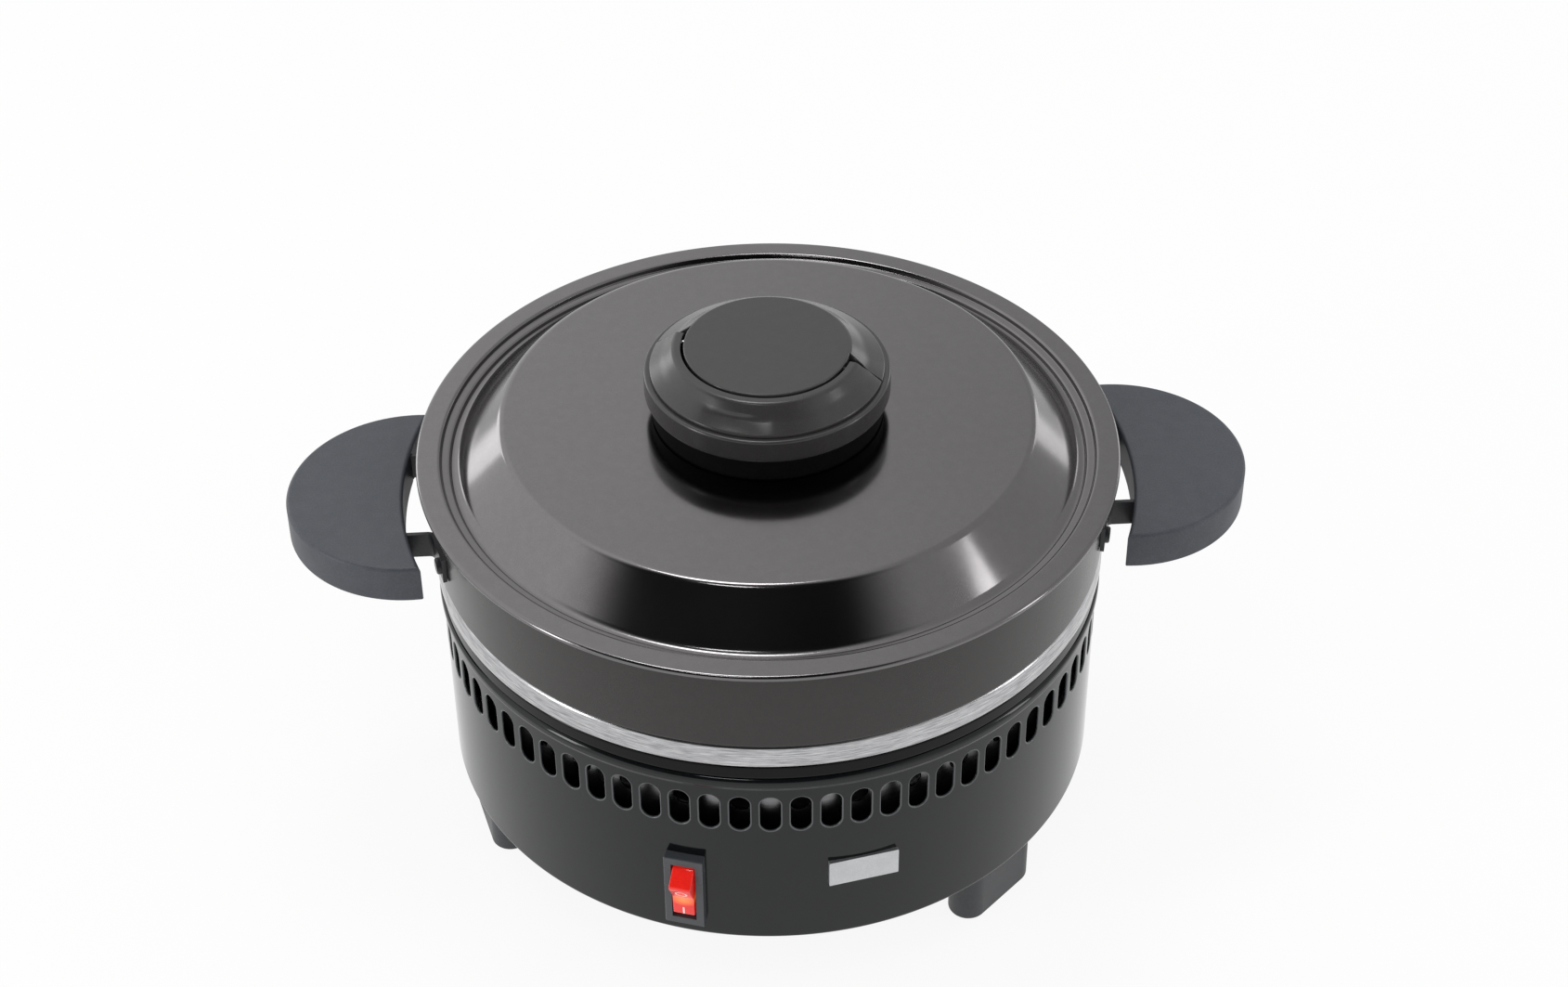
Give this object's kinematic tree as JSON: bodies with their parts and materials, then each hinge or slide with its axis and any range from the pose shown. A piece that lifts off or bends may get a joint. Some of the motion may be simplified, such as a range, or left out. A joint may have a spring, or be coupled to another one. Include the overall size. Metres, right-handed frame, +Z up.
{
  "type": "chestnut roasting oven",
  "caption": "Round electric table roaster: vented base with heating element, perforated two-handled pan standing in a steel ring, and a domed lid with a wide steam knob.",
  "frame": {"origin": "on the table under the centre of the pan", "axes": "+Z up, -Y towards the side with the switch, +X towards the right-hand handle"},
  "size_m": [0.3364, 0.244, 0.1925],
  "materials": {
    "housing_enamel": "gloss",
    "plate_steel": "satin",
    "collar_black": "gloss",
    "ring_steel": "brushed",
    "shield_steel": "satin",
    "reflector_aluminium": "satin",
    "element_tube": "matte",
    "ceramic": "satin",
    "block_plastic": "matte",
    "screw_steel": "satin",
    "brass_blades": "satin",
    "wire_sleeve": "matte",
    "gland_plastic": "satin",
    "switch_black": "satin",
    "rocker_red": "translucent gloss",
    "lamp_glass": "gloss",
    "badge_metal": "satin",
    "foot_plastic": "matte",
    "pan_coating": "semi-gloss non-stick coating",
    "strap_steel": "satin",
    "grip_plastic": "grained matte",
    "lid_enamel": "satin",
    "knob_plastic": "satin",
    "neck_black": "matte",
    "seal_rubber": "matte"
  },
  "bodies": {
    "base": {"housing_shell": "housing_enamel", "base_plate": "plate_steel", "base_screws": "screw_steel", "foot_front_right": "foot_plastic", "foot_front_left": "foot_plastic", "foot_rear": "foot_plastic", "foot_screws": "screw_steel", "insulating_collar": "collar_black", "steel_ring": "ring_steel", "ring_screws": "screw_steel", "ring_nuts": "screw_steel", "heat_shield": "shield_steel", "reflector_dish": "reflector_aluminium", "reflector_posts": "screw_steel", "reflector_screws": "screw_steel", "heating_element": "element_tube", "element_clips": "shield_steel", "element_insulators": "ceramic", "limit_thermostat": "block_plastic", "thermostat_rivets": "screw_steel", "terminal_block": "block_plastic", "earth_stud": "brass_blades", "earth_nut": "brass_blades", "cable_gland": "gland_plastic", "gland_nut": "gland_plastic", "switch_frame": "switch_black", "switch_contacts": "brass_blades", "switch_lamp": "lamp_glass", "badge_plate": "badge_metal", "wire_live": "wire_sleeve", "wire_switched": "wire_sleeve", "wire_thermostat": "wire_sleeve", "wire_neutral": "wire_sleeve", "wire_lamp": "wire_sleeve"},
    "rocker": {"switch_rocker": "rocker_red"},
    "pan": {"pan_shell": "pan_coating", "bracket_right": "strap_steel", "bracket_left": "strap_steel", "grip_right": "grip_plastic", "grip_left": "grip_plastic", "grip_screws": "screw_steel", "bracket_rivets": "strap_steel"},
    "lid": {"lid_shell": "lid_enamel", "knob_seal": "seal_rubber", "knob_neck": "neck_black", "knob_base": "knob_plastic", "knob_washers": "screw_steel", "knob_screws": "screw_steel", "knob_cap": "knob_plastic", "flap_pins": "screw_steel"},
    "flap": {"knob_flap": "knob_plastic"}
  },
  "joints": [
    {"name": "pan_lift", "type": "slide", "parent": "base", "child": "pan", "axis": [0, 0, 1], "range_m": [0, 0.1]},
    {"name": "lid_lift", "type": "slide", "parent": "pan", "child": "lid", "axis": [0.632, 0.571, 0.524], "range_m": [0, 0.0934]},
    {"name": "flap_turn", "type": "hinge", "parent": "lid", "child": "flap", "pos_m": [0, 0, 0.1873], "axis": [-0.9373, 0.3486, 0], "range_deg": [0, 42]},
    {"name": "rocker_tip", "type": "hinge", "parent": "base", "child": "rocker", "pos_m": [-0.03533, -0.1107, 0.0488], "axis": [0.9527, -0.304, 0], "range_deg": [-32, 0]}
  ]
}
